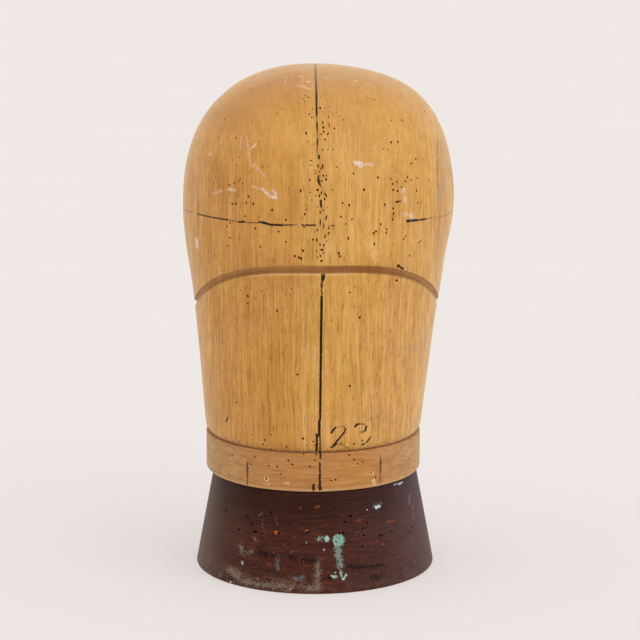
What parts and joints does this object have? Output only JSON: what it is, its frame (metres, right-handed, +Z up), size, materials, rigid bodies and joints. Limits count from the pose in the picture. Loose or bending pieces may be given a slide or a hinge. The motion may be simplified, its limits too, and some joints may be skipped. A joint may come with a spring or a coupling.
{
  "type": "millinery head block",
  "caption": "Solid wooden head block for shaping hats, glued up from planks, with a tie groove, a collar board and a flared dark foot that it stands on.",
  "frame": {"origin": "on the table, under the middle of the foot", "axes": "+Z up; the brow, where the tie groove is highest, faces -Y; +X is on the right as the brow is seen"},
  "size_m": [0.1668, 0.2055, 0.3087],
  "materials": {
    "head_wood": "old waxed and varnished light hardwood, satin, with pen marks and pin holes",
    "collar_wood": "waxed light hardwood with crosswise grain, satin",
    "foot_wood": "dark red-brown stained wood, worn and dusty",
    "dowel_wood": "plain beech",
    "screw_steel": "dull steel"
  },
  "bodies": {
    "root": {"head_plank_left": "head_wood", "head_plank_centre": "head_wood", "head_plank_right": "head_wood", "collar_board": "collar_wood", "base_foot": "foot_wood", "collar_dowel_left": "dowel_wood", "collar_dowel_right": "dowel_wood", "base_screw_front_left": "screw_steel", "base_screw_front_right": "screw_steel", "base_screw_back_left": "screw_steel", "base_screw_back_right": "screw_steel"}
  },
  "joints": []
}
